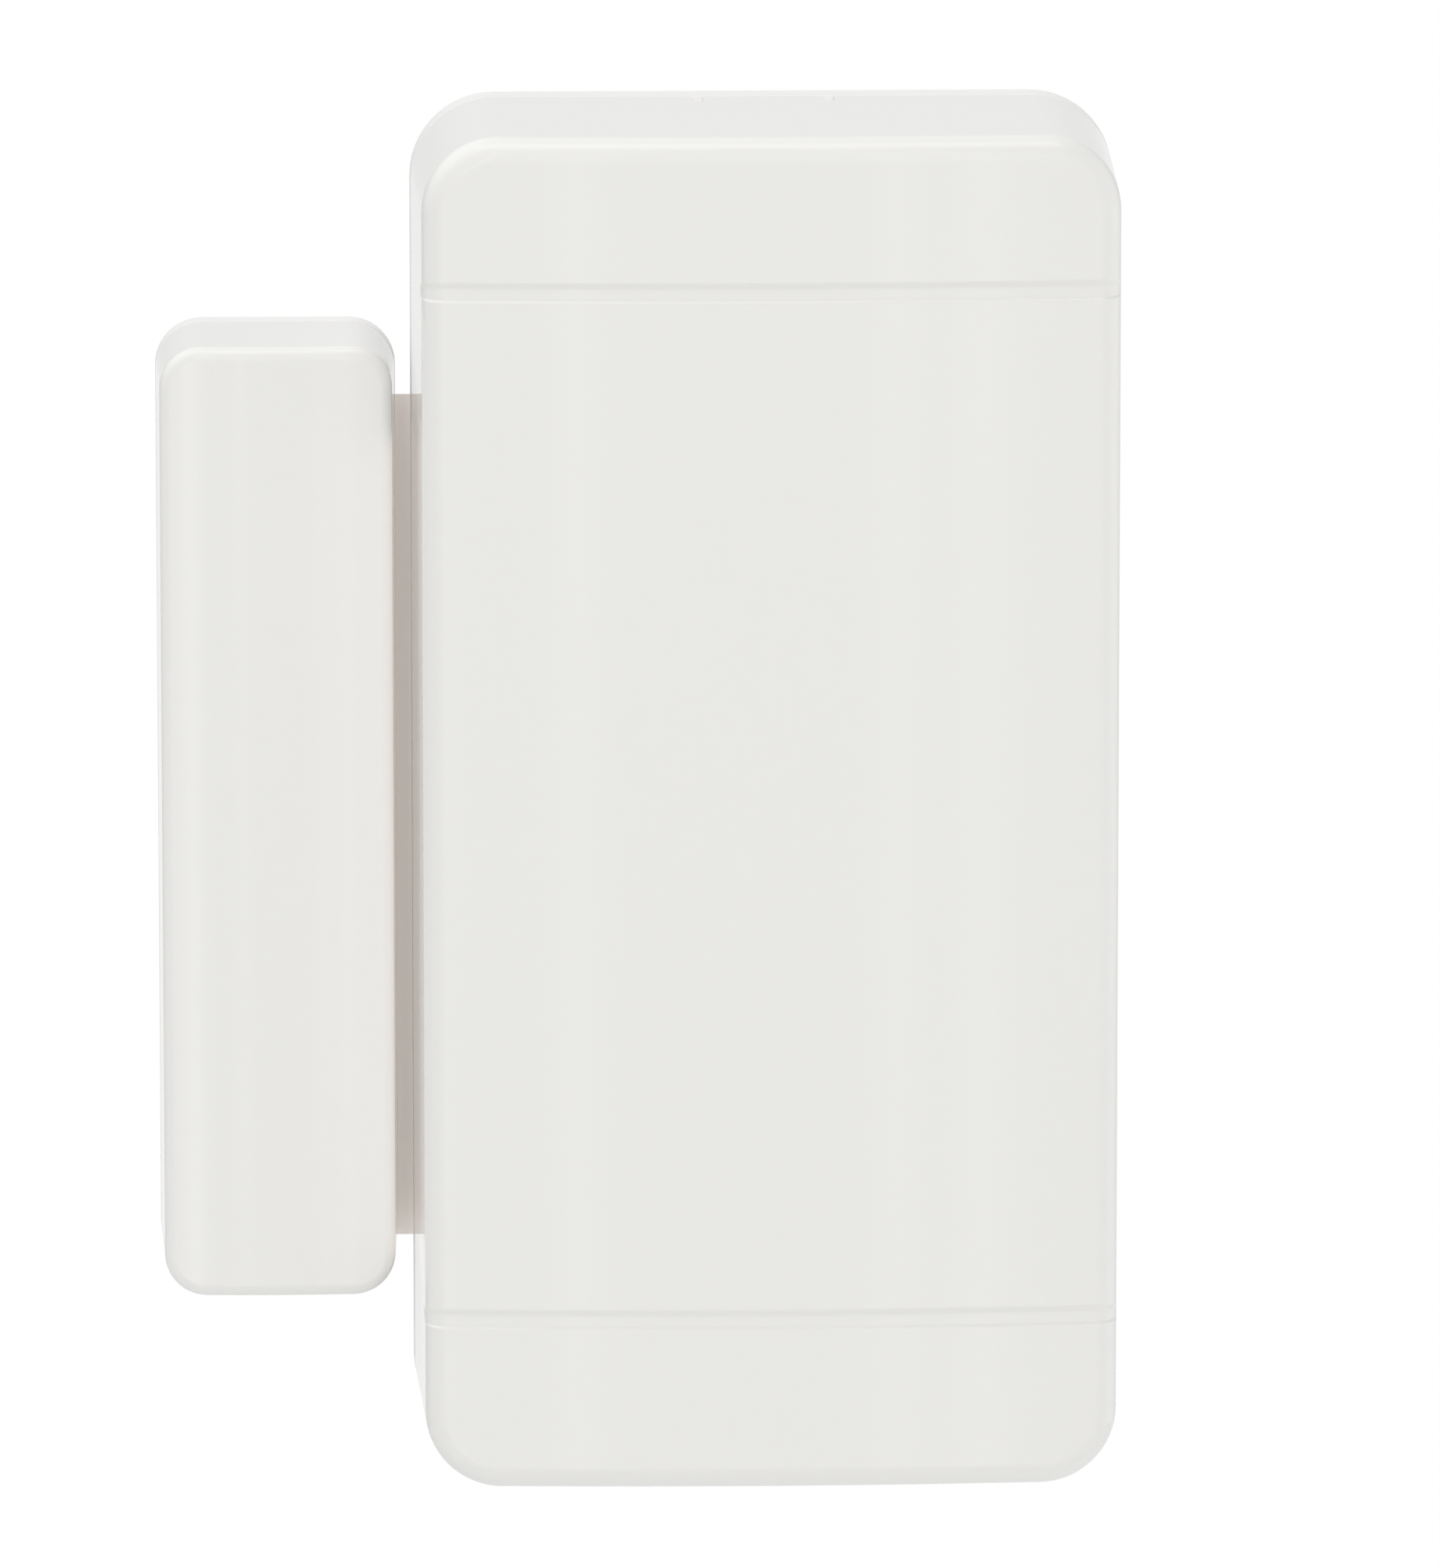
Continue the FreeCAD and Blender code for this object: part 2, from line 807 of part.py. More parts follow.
def bevelled_rod(diameter, length, bevel):
    # An upright rod on the reed switch's axis, with both ends bevelled
    low = Vector(reed_x, -reed_axis, reed_z - length / 2)
    rod = Part.makeCylinder(diameter / 2, length, low, along_z)
    ends = [edge for edge in rod.Edges if edge.BoundBox.ZLength < 0.001]
    return rod.makeChamfer(bevel, ends)


def reed_lead_box(grow, z_from, z_to):
    wide = reed_lead_width / 2 + grow
    half = reed_lead_thickness / 2 + grow
    return box(reed_x - wide, reed_x + wide, reed_axis - half, reed_axis + half,
               min(z_from, z_to), max(z_from, z_to))


def reed_glass():
    # A sealed glass tube, hollow round the two blades and closed on their leads
    tube = bevelled_rod(reed_glass_diameter, reed_glass_length, reed_bevel)
    hollow_diameter = reed_glass_diameter - 2 * reed_glass_wall
    hollow_length = reed_glass_length - 2 * reed_seal_length
    tube = tube.cut(bevelled_rod(hollow_diameter, hollow_length, reed_inner_bevel))
    half = reed_glass_length / 2 + cut_margin
    return tube.cut(reed_lead_box(seal_clearance, reed_z - half, reed_z + half))


def reed_lead(side):
    # A flat strip bent down to the board outside the glass, and a thin springy blade inside it
    half = reed_lead_thickness / 2
    wide = reed_lead_width / 2
    inner_end = reed_z + side * (reed_glass_length / 2 - 4 * reed_glass_wall)
    corner_z = reed_z + side * reed_span / 2
    run = reed_lead_box(0, inner_end, corner_z + side * half)
    leg = box(reed_x - wide, reed_x + wide, board_back, reed_axis + half,
              corner_z - half, corner_z + half)
    lead = fused([run, leg])
    outer = reed_axis + half
    bend = [edge for edge in edges_at(lead, outer) if abs(edge.BoundBox.Center.z - corner_z) < half * 1.01]
    bend = [edge for edge in bend if edge.BoundBox.ZLength < 0.001]
    lead = lead.makeFillet(reed_lead_bend, bend)
    blade_tip = reed_z - side * reed_blade_overlap / 2
    z_low = min(inner_end, blade_tip)
    z_high = max(inner_end, blade_tip)
    near = reed_axis - side * reed_contact_gap / 2
    far = near - side * reed_blade_thickness
    wide = reed_blade_width / 2
    blade = box(reed_x - wide, reed_x + wide, min(near, far), max(near, far), z_low, z_high)
    return fused([lead, blade])


def reed_blades():
    return Part.makeCompound([reed_lead(-1), reed_lead(1)])


def encoder_chip():
    half_w = chip_width / 2
    half_l = chip_length / 2
    base = board_front + chip_standoff
    body = box(chip_x - half_w, chip_x + half_w, base, base + chip_thickness,
               chip_z - half_l, chip_z + half_l)
    long_edges = [edge for edge in body.Edges if abs(edge.Length - chip_length) < 0.001]
    body = body.makeChamfer(chip_standoff, long_edges)
    mark = peg(chip_mark_diameter, chip_x - half_w / 2, chip_z + half_l - chip_mark_inset,
               base + chip_thickness - chip_mark_depth, base + chip_thickness + cut_margin)
    return body.cut(mark)


def gull_lead(side, z):
    # Out of the body's side, down in a step and flat on the board
    near = chip_x + side * chip_width / 2
    far = near + side * chip_lead_reach
    knee = near + side * chip_lead_reach * 0.4
    thick = chip_lead_thickness
    high = board_front + chip_standoff + chip_thickness / 2
    points = [
        (near, high + thick / 2),
        (knee + side * thick, high + thick / 2),
        (knee + side * thick, board_front + thick),
        (far, board_front + thick),
        (far, board_front),
        (knee, board_front),
        (knee, high - thick / 2),
        (near, high - thick / 2),
    ]
    outline = [Vector(x, -front, z - chip_lead_width / 2) for x, front in points]
    face = Part.Face(Part.makePolygon(outline + outline[:1]))
    return face.extrude(along_z * chip_lead_width)


def encoder_leads():
    leads = []
    first = chip_z - chip_lead_pitch * (chip_lead_count - 1) / 2
    for index in range(chip_lead_count):
        for side in (-1, 1):
            leads.append(gull_lead(side, first + index * chip_lead_pitch))
    return Part.makeCompound(leads)


def resonator_can():
    # A round pressed can on a wider flange
    flange = peg(can_flange, can_x, can_z, board_front, board_front + can_flange_thickness)
    can = peg(can_diameter, can_x, can_z, board_front, board_front + can_height)
    can = can.makeChamfer(can_edge, edges_at(can, board_front + can_height))
    return fused([flange, can])


def moulded_package(package, x, z):
    # A moulded block standing on short flat leads
    half_width = package["width"] / 2
    half_length = package["length"] / 2
    base = board_front + chip_standoff
    parts = [box(x - half_width, x + half_width, base, base + package["height"],
                 z - half_length, z + half_length)]
    for side, offset in package["leads"]:
        far = x + side * (half_width + package_lead_reach)
        low = z + offset - chip_lead_width / 2
        parts.append(box(min(x, far), max(x, far), board_front, board_front + package_lead_thickness,
                         low, low + chip_lead_width))
    return fused(parts)


def radio_transistor():
    x = board_leg_right + transistor_from_side
    return moulded_package(transistor, x, board_step_height + transistor_from_step)


def voltage_regulator():
    x = board_leg_right - regulator_from_side
    return moulded_package(regulator, x, board_bottom + regulator_from_bottom)


def bulk_capacitor():
    # A can on a square plastic foot, with a waist rolled in above the foot
    half = capacitor_foot / 2
    foot = box(capacitor_x - half, capacitor_x + half, board_front, board_front + capacitor_foot_height,
               capacitor_z - half, capacitor_z + half)
    radius = capacitor_diameter / 2
    waist = capacitor_waist_height
    outline = []
    for reach, front in (
        (0, 0),
        (radius, 0),
        (radius, waist - capacitor_waist_depth),
        (radius - capacitor_waist_depth, waist),
        (radius, waist + capacitor_waist_depth),
        (radius, capacitor_height - can_edge),
        (radius - can_edge, capacitor_height),
        (0, capacitor_height),
    ):
        outline.append(Vector(capacitor_x + reach, -(board_front + front), capacitor_z))
    face = Part.Face(Part.makePolygon(outline + outline[:1]))
    can = face.revolve(Vector(capacitor_x, 0, capacitor_z), to_front, 360)
    return fused([foot, can])


def status_led():
    # A round lens on its flange, stood off on two leads
    base = board_front + led_stand
    tip = base + led_height
    flange = peg(led_flange, led_x, led_z, base, base + led_flange_height)
    barrel = peg(led_diameter, led_x, led_z, base, tip)
    parts = [flange, barrel.makeChamfer(led_bevel, edges_at(barrel, tip))]
    for side in (-1, 1):
        x = led_x + side * led_lead_pitch / 2
        parts.append(peg(led_lead, x, led_z, board_back, base + led_flange_height / 2))
    return fused(parts)


def bent_strip_form(grow):
    # The block inside the aerial's middle line, or grown or shrunk from it, with two round bends
    near = aerial_x - aerial_run / 2 - grow
    far = aerial_x + aerial_run / 2 + grow
    top = board_front + aerial_lift + grow
    form = box(near, far, board_back, top, aerial_z - aerial_width / 2, aerial_z + aerial_width / 2)
    bends = [edge for edge in edges_at(form, top) if edge.BoundBox.XLength < 0.001]
    return form.makeFillet(aerial_bend + grow, bends)


def antenna_loop():
    # A stiff strip aerial: up from the board, along its top and down into it again
    return bent_strip_form(aerial_strip / 2).cut(bent_strip_form(-aerial_strip / 2))


def small_part(x, z, width, length, height):
    return box(x - width / 2, x + width / 2, board_front, board_front + height,
               z - length / 2, z + length / 2)


def chip_resistors():
    solids = []
    for from_side, count in (
        (left_resistors_from_side, left_resistor_count),
        (right_resistors_from_side, right_resistor_count),
    ):
        for index in range(count):
            z = lowest_resistor_z + index * resistor_pitch
            solids.append(small_part(board_leg_right - from_side, z, small_part_length,
                                     small_part_width, resistor_height))
    return Part.makeCompound(solids)


def chip_capacitors():
    solids = []
    for index in range(small_capacitor_count):
        x = cell_x + capacitors_from_cell + index * small_capacitor_pitch
        solids.append(small_part(x, board_step_height + capacitors_from_step, small_part_width,
                                 small_part_length, small_capacitor_height))
    return Part.makeCompound(solids)


def magnet_cover():
    shell = cover_shell(magnet_unit)
    added = []
    for side in (-1, 1):
        added.append(catch(magnet_unit, magnet_unit["x"], side))
        added.append(bar_rib(side))
    return fused([shell] + added)


def bar_rib(side):
    # A cross rib inside the front that keeps the bar on its bed
    root = crown_level(magnet_unit, magnet_unit["x"], magnet_cover_wall) + cut_margin / 2
    tip = magnet_plate_floor + bar_thickness + bar_hold_gap
    z = magnet_unit["z"] + side * bar_length / 4
    half = bar_width / 2
    thin = rail_thickness / 2
    x = magnet_unit["x"]
    return box(x - half, x + half, tip, root, z - thin, z + thin)


def bar_bed():
    # Two rails along the bar and a stop at each end
    x = magnet_unit["x"]
    z = magnet_unit["z"]
    near = bar_width / 2 + bar_gap
    far = near + rail_thickness
    top = magnet_plate_floor + rail_height
    half_length = bar_length / 2
    parts = []
    for side in (-1, 1):
        parts.append(box(min(x + side * near, x + side * far), max(x + side * near, x + side * far),
                         magnet_plate_floor, top, z - half_length, z + half_length))
        z_near = z + side * (half_length + bar_gap)
        z_far = z_near + side * rail_thickness
        parts.append(box(x - bar_stop_width / 2, x + bar_stop_width / 2, magnet_plate_floor, top,
                         min(z_near, z_far), max(z_near, z_far)))
    return parts


def magnet_plate():
    plate = fused([plate_tray(magnet_unit)] + bar_bed())
    for side in (-1, 1):
        plate = plate.cut(catch_window(magnet_unit, magnet_unit["x"], side))
        z = magnet_unit["z"] + side * magnet_hole_spacing / 2
        for cutter in sunk_hole(magnet_unit["x"], z, magnet_hole_diameter, magnet_sink_diameter,
                                magnet_sink_depth, magnet_plate_floor):
            plate = plate.cut(cutter)
    return plate


def bar_magnet():
    x = magnet_unit["x"]
    z = magnet_unit["z"]
    bar = box(x - bar_width / 2, x + bar_width / 2, magnet_plate_floor,
              magnet_plate_floor + bar_thickness, z - bar_length / 2, z + bar_length / 2)
    return bar.makeChamfer(bar_chamfer, bar.Edges)


nodes = {
    "front_cover": front_cover,
    "back_plate": back_plate,
    "circuit_board": circuit_board,
    "board_screws": board_screws,
    "battery_cell": cell,
    "battery_spring": cell_spring,
    "negative_contact": negative_contact,
    "positive_contact": positive_contact,
    "reed_glass": reed_glass,
    "reed_blades": reed_blades,
    "encoder_chip": encoder_chip,
    "encoder_leads": encoder_leads,
    "resonator_can": resonator_can,
    "radio_transistor": radio_transistor,
    "voltage_regulator": voltage_regulator,
    "bulk_capacitor": bulk_capacitor,
    "status_led": status_led,
    "antenna_loop": antenna_loop,
    "chip_resistors": chip_resistors,
    "chip_capacitors": chip_capacitors,
    "magnet_cover": magnet_cover,
    "magnet_plate": magnet_plate,
    "bar_magnet": bar_magnet,
}

os.makedirs("parts", exist_ok=True)
for name, make in nodes.items():
    shape = make()
    shape.exportStep(os.path.join("parts", name + ".step"))
    box_size = shape.BoundBox
    print(name, len(shape.Solids), "solids", round(shape.Volume, 1), "mm3", "valid", shape.isValid(),
          round(box_size.XLength, 2), round(box_size.YLength, 2), round(box_size.ZLength, 2))
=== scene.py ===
import math

import bmesh
import bpy
from mathutils import Matrix, Vector


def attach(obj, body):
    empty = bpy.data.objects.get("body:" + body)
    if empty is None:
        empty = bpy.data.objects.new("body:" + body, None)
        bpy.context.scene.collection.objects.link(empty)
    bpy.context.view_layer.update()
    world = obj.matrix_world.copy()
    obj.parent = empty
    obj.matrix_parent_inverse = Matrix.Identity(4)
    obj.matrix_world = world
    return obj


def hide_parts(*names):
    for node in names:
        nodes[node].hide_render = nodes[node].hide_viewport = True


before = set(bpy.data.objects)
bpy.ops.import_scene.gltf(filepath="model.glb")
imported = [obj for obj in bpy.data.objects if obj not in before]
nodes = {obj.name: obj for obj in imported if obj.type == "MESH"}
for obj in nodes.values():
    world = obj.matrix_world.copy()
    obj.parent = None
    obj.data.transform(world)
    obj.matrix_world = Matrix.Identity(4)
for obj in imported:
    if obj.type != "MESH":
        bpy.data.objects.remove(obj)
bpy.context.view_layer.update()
scene = bpy.context.scene
millimetre = 0.001


# Sizes of the cases are in millimetres, and levels count from the wall towards the room
transmitter = {
    "x": 0.0,
    "z": 0.0,
    "width": 36.0,
    "height": 70.0,
    "depth": 17.0,
    "corner": 4.3,
    "edge": 1.2,
    "crownDrop": 0.9,
    "rim": 2.2,
    "partingChamfer": 0.15,
    "draft": 1.6,
    "grooves": (27.1, -25.4),
    "grooveDepth": 0.12,
    "grooveTop": 0.26,  # this and the next three are levels counted up from the groove's place
    "grooveFoot": -0.14,
    "grooveLip": -0.68,
    "grooveEnd": -0.82,
    "grooveRise": 0.01,
    "grooveFade": 0.12,
    "notches": (-3.35, 3.35),
    "notchWidth": 0.56,
    "notchTop": 3.88,
    "keptReach": 0.41,  # the solid's own notch faces stay within this reach, this top and this much below
    "keptTop": 4.02,
    "keptBelow": 3.0,
    "gridStep": 0.9,
    "shellFrom": 0.75,  # faces of the solid that lie deeper than this stay
}

magnetCase = {
    "x": -24.9,
    "z": -1.3,
    "width": 12.3,
    "height": 49.5,
    "depth": 10.2,
    "corner": 2.4,
    "edge": 0.65,
    "crownDrop": 0.45,
    "rim": 1.8,
    "partingChamfer": 0.15,
    "draft": 1.6,
    "grooves": (),
    "notches": (),
    "notchTop": 4.0,
    "gridStep": 0.9,
    "shellFrom": 0.7,
}


# How many steps the outer skin takes over each stretch, the narrow step beside a sharp line,
# and how plainly a face of the solid has to look back or up to count as doing so
skinValues = {
    "lowWall": 2,
    "wall": 6,
    "edge": 12,
    "front": 4,
    "corner": 16,
    "guard": 0.03,
    "settleTurns": 8,
    "rimSlack": 0.02,
    "facesBack": 0.9,
    "facesUp": 0.7,
}

# How many steps the skin's lines take over each stretch of a groove, and how far they reach beyond it
grooveValues = {
    "shoulder": 10,
    "floor": 5,
    "lip": 7,
    "guard": 0.02,
    "above": 0.06,
    "below": (0.08, 0.28),
    "clearAbove": 0.9,
    "clearBelow": 1.6,
}


def crownRadius(case):
    half = case["width"] / 2
    return (half ** 2 + case["crownDrop"] ** 2) / (2 * case["crownDrop"])


def crownLevel(case, x):
    radius = crownRadius(case)
    return case["depth"] - radius + math.sqrt(radius ** 2 - x ** 2)


def steps(start, end, count):
    return [start + (end - start) * index / count for index in range(count + 1)]


def grooveDepthAt(case, z):
    # A soft shoulder down to the foot, a floor that rises a little, and a sloped lip
    for groove in case["grooves"]:
        above = z - groove
        depth, rise = case["grooveDepth"], case["grooveRise"]
        top, foot, lip, end = case["grooveTop"], case["grooveFoot"], case["grooveLip"], case["grooveEnd"]
        if foot <= above <= top:
            return depth * (1 + math.cos(math.pi * (above - foot) / (top - foot))) / 2
        if lip <= above < foot:
            return depth - rise * (foot - above) / (foot - lip)
        if end <= above < lip:
            return (depth - rise) * (above - end) / (lip - end)
    return 0.0


def columnPoints(case, baseX, baseZ, outX, outZ, target):
    # One column from the rim up the wall, round the edge and in over the crown to its target
    slope = math.tan(math.radians(case["draft"]))
    lean = math.radians(case["draft"])
    edge = case["edge"]
    radius = crownRadius(case)
    axisLevel = case["depth"] - radius
    centreFront = case["depth"] - edge
    for turn in range(skinValues["settleTurns"]):  # the edge's centre settles under the crown
        inset = centreFront * slope + edge / math.cos(lean)
        centreX = baseX - outX * inset
        centreFront = axisLevel + math.sqrt((radius - edge) ** 2 - centreX ** 2)
    centre = Vector((centreX, centreFront, baseZ - outZ * inset))
    wallWay = Vector((outX * math.cos(lean), math.sin(lean), outZ * math.cos(lean)))
    crownWay = Vector((centreX, centreFront - axisLevel, 0)).normalized()
    tangentLevel = centreFront + edge * math.sin(lean)
    chamfer = case["partingChamfer"]
    guard = skinValues["guard"]
    levels = [case["rim"] + chamfer, case["rim"] + chamfer + guard]
    levels += steps(levels[-1], case["notchTop"], skinValues["lowWall"])[1:]
    levels += steps(case["notchTop"], tangentLevel - guard, skinValues["wall"])[1:]
    points = []
    for level, into in ((case["rim"], chamfer), (case["rim"] + guard, chamfer - guard)):
        reach = level * slope + into
        points.append((Vector((baseX - outX * reach, level, baseZ - outZ * reach)), wallWay, 1.0))
    for level in levels:
        reach = level * slope
        points.append((Vector((baseX - outX * reach, level, baseZ - outZ * reach)), wallWay, 1.0))
    for part in steps(0, 1, skinValues["edge"]):
        way = wallWay.slerp(crownWay, part)
        points.append((centre + way * edge, way, 1 - way.dot(crownWay)))
    start = points[-1][0]
    span = Vector((target[0] - start.x, 0, target[1] - start.z))
    firstPart = guard / max(span.length, guard)
    for part in [firstPart] + steps(0, 1, skinValues["front"])[1:]:
        x = start.x + span.x * part
        level = crownLevel(case, x)
        way = Vector((x, level - axisLevel, 0)).normalized()
        points.append((Vector((x, level, start.z + span.z * part)), way, 0.0))
    return points


def sunk(case, point, way, standOff):
    # The point pressed in where a groove runs, less so as the surface turns away from the front
    depth = grooveDepthAt(case, point.z)
    if depth > 0:
        depth = max(0.0, depth - case["grooveFade"] * standOff)
    return point - way * depth


def frontLines(case):
    # Where the grid's lines across the front lie, with those inside the notches
    half = case["width"] / 2 - case["corner"]
    lines = set()
    count = max(2, round(2 * half / case["gridStep"]))
    for x in steps(-half, half, count):
        if all(abs(x - notch) > case["notchWidth"] for notch in case["notches"]):
            lines.add(round(x, 4))
    for notch in case["notches"]:
        for part in (-1, -0.92, -0.7, -0.38, 0, 0.38, 0.7, 0.92, 1):
            lines.add(round(notch + part * case["notchWidth"] / 2, 4))
    return sorted(lines)


def grooveLines(case):
    # The lines round one groove, counted up from its place: dense over the shoulder and the lip
    top, foot, lip, end = case["grooveTop"], case["grooveFoot"], case["grooveLip"], case["grooveEnd"]
    guard = grooveValues["guard"]
    lines = [top + grooveValues["above"]]
    lines += steps(top, foot, grooveValues["shoulder"])
    lines += steps(foot, lip, grooveValues["floor"])[1:-1]
    lines += [lip + guard] + steps(lip, end, grooveValues["lip"]) + [end - guard]
    return lines + [end - reach for reach in grooveValues["below"]]


def heightLines(case):
    # Where the lines up the case lie, evenly but for the stretches round the grooves
    half = case["height"] / 2 - case["corner"]
    low, high = -grooveValues["clearBelow"], grooveValues["clearAbove"]
    lines = set()
    for z in steps(-half, half, round(2 * half / case["gridStep"])):
        if all(not low < z - groove < high for groove in case["grooves"]):
            lines.add(round(z, 4))
    for groove in case["grooves"]:
        for line in grooveLines(case):
            lines.add(round(groove + line, 4))
    return sorted(lines)


def inNotch(case, x):
    # Whether the strip of skin that ends at this line, coming from the right, lies in a notch
    for notch in case["notches"]:
        half = case["notchWidth"] / 2
        if -half - 1e-6 <= x - notch < half - 1e-6:
            return True
    return False


def cornerColumns(case, side, end, turns):
    # The columns round one corner, on the right where side is 1 and at the top where end is 1
    corner = case["corner"]
    middleX = side * (case["width"] / 2 - corner)
    middleZ = end * (case["height"] / 2 - corner)
    columns = []
    for turn in turns:
        outX = math.cos(math.radians(turn))
        outZ = end * math.sin(math.radians(turn))
        columns.append(columnPoints(case, middleX + corner * outX, middleZ + corner * outZ,
                                    outX, outZ, (middleX, middleZ)))
    return columns


def coverSkin(mesh, case):
    # The cover's outside as one even grid: two end caps and the middle with its grooves
    halfX = case["width"] / 2 - case["corner"]
    halfZ = case["height"] / 2 - case["corner"]
    across = frontLines(case)
    up = heightLines(case)
    known = {}
    notchRows = 3 + skinValues["lowWall"]  # the faces of a column from the rim to a notch's top

    def vertex(point):
        key = (round(point.x, 4), round(point.y, 4), round(point.z, 4))
        if key not in known:
            place = Vector((point.x + case["x"], -point.y, point.z + case["z"]))
            known[key] = mesh.verts.new(place * millimetre)
        return known[key]

    def face(corners):
        kept = []
        for corner in corners:
            if corner not in kept:
                kept.append(corner)
        if len(kept) > 2:
            made = mesh.faces.new(kept)
            made.smooth = True

    def stitch(columns, skipped=()):
        for index in range(len(columns) - 1):
            left, right = columns[index], columns[index + 1]
            for row in range(len(left) - 1):
                if index in skipped and row < notchRows:
                    continue
                face([left[row], left[row + 1], right[row + 1], right[row]])

    for end in (1, -1):
        columns = cornerColumns(case, 1, end, steps(0, 90, skinValues["corner"]))
        openColumns = []
        for x in reversed(across[:-1]):
            if end == 1 and inNotch(case, x):
                openColumns.append(len(columns) - 1)
            columns.append(columnPoints(case, x, end * case["height"] / 2, 0, end, (x, end * halfZ)))
        columns += cornerColumns(case, -1, end, steps(90, 180, skinValues["corner"])[1:])
        stitch([[vertex(point) for point, way, off in column] for column in columns], openColumns)

    for side in (1, -1):
        columns = []
        for z in up:
            column = columnPoints(case, side * case["width"] / 2, z, side, 0, (side * halfX, z))
            columns.append([vertex(sunk(case, point, way, off)) for point, way, off in column])
        stitch(columns)

    axisLevel = case["depth"] - crownRadius(case)
    columns = []
    for z in up:
        column = []
        for x in across:
            point = Vector((x, crownLevel(case, x), z))
            way = Vector((x, point.y - axisLevel, 0)).normalized()
            column.append(vertex(sunk(case, point, way, 0.0)))
        columns.append(column)
    stitch(columns)


def insideDepth(case, point):
    # How far a point lies inside the plain outer form, in millimetres
    x = abs(point.x / millimetre - case["x"])
    z = abs(point.z / millimetre - case["z"])
    front = -point.y / millimetre
    shrink = front * math.tan(math.radians(case["draft"]))
    halfX = case["width"] / 2 - case["corner"]
    halfZ = case["height"] / 2 - case["corner"]
    beyondX = x - halfX
    beyondZ = z - halfZ
    if beyondX > 0 and beyondZ > 0:
        wall = case["corner"] - shrink - math.hypot(beyondX, beyondZ)
    else:
        wall = case["corner"] - shrink - max(beyondX, beyondZ)
    return min(wall, crownLevel(case, min(x, case["width"] / 2)) - front)


def keptFace(case, face):
    # The faces of the solid that stay: the rim, the notches' sides and the inside
    centre = face.calc_center_median()
    if insideDepth(case, centre) > case["shellFrom"]:
        return True
    level = -centre.y / millimetre
    if face.normal.y > skinValues["facesBack"] and level < case["rim"] + skinValues["rimSlack"]:
        return True
    x = centre.x / millimetre - case["x"]
    z = centre.z / millimetre - case["z"]
    for notch in case["notches"]:
        inWidth = abs(x - notch) < case["keptReach"]
        inHeight = z > case["height"] / 2 - case["keptBelow"] and level < case["keptTop"]
        if inWidth and inHeight and abs(face.normal.z) < skinValues["facesUp"]:
            return True
    return False


def makeCover(name, node, case):
    # The solid's inside with the fine skin round it
    mesh = bmesh.new()
    mesh.from_mesh(nodes[node].data)
    outer = [face for face in mesh.faces if not keptFace(case, face)]
    bmesh.ops.delete(mesh, geom=outer, context="FACES")
    skin = bmesh.new()
    coverSkin(skin, case)
    bmesh.ops.recalc_face_normals(skin, faces=skin.faces)
    foremost = min(skin.faces, key=lambda face: face.calc_center_median().y)
    if foremost.normal.y > 0:
        bmesh.ops.reverse_faces(skin, faces=skin.faces)
    skinData = bpy.data.meshes.new(name + "Skin")
    skin.to_mesh(skinData)
    skin.free()
    mesh.from_mesh(skinData)
    bpy.data.meshes.remove(skinData)
    data = bpy.data.meshes.new(name)
    mesh.to_mesh(data)
    mesh.free()
    piece = bpy.data.objects.new(name, data)
    scene.collection.objects.link(piece)
    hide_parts(node)
    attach(piece, "root")
    return piece


# Materials

def newMaterial(name):
    material = bpy.data.materials.new(name)
    material.use_nodes = True
    tree = material.node_tree
    shader = tree.nodes["Principled BSDF"]
    return material, tree, shader


def mathNode(tree, operation, *inputs):
    # A number worked out from sockets and plain numbers
    node = tree.nodes.new("ShaderNodeMath")
    node.operation = operation
    for index, value in enumerate(inputs):
        if isinstance(value, bpy.types.NodeSocket):
            tree.links.new(value, node.inputs[index])
        else:
            node.inputs[index].default_value = value
    return node.outputs[0]


mouldedValues = {
    "flowScale": 60.0,
    "flowDetail": 2.0,
    "grainScale": 2600.0,
    "grainDetail": 1.0,
    "flowPart": 0.75,
}


def noise(tree, place, scale, detail):
    node = tree.nodes.new("ShaderNodeTexNoise")
    node.inputs["Scale"].default_value = scale
    node.inputs["Detail"].default_value = detail
    tree.links.new(place.outputs["Object"], node.inputs["Vector"])
    return node.outputs["Fac"]


def mouldedSurfaceGroup():
    # Faint flow marks and fine grain of a moulded surface, as a height and a roughness
    group = bpy.data.node_groups.new("mouldedSurface", "ShaderNodeTree")
    group.interface.new_socket("Roughness", in_out="INPUT", socket_type="NodeSocketFloat")
    group.interface.new_socket("Spread", in_out="INPUT", socket_type="NodeSocketFloat")
    group.interface.new_socket("Roughness", in_out="OUTPUT", socket_type="NodeSocketFloat")
    group.interface.new_socket("Height", in_out="OUTPUT", socket_type="NodeSocketFloat")
    start = group.nodes.new("NodeGroupInput")
    end = group.nodes.new("NodeGroupOutput")
    place = group.nodes.new("ShaderNodeTexCoord")
    flow = noise(group, place, mouldedValues["flowScale"], mouldedValues["flowDetail"])
    grain = noise(group, place, mouldedValues["grainScale"], mouldedValues["grainDetail"])
    height = group.nodes.new("ShaderNodeMix")
    height.data_type = "FLOAT"
    height.inputs["Factor"].default_value = mouldedValues["flowPart"]
    group.links.new(grain, height.inputs["A"])
    group.links.new(flow, height.inputs["B"])
    centred = mathNode(group, "SUBTRACT", flow, 0.5)
    roughness = mathNode(group, "MULTIPLY_ADD", centred, start.outputs["Spread"], start.outputs["Roughness"])
    group.links.new(roughness, end.inputs["Roughness"])
    group.links.new(height.outputs["Result"], end.inputs["Height"])
    return group


moulded = mouldedSurfaceGroup()

# What a finish has where it says nothing else
plainFinish = {"metallic": 0.0, "ior": 1.48, "spread": 0.06, "bump": 0.05, "transmission": 0.0}
bumpDistance = 0.0001


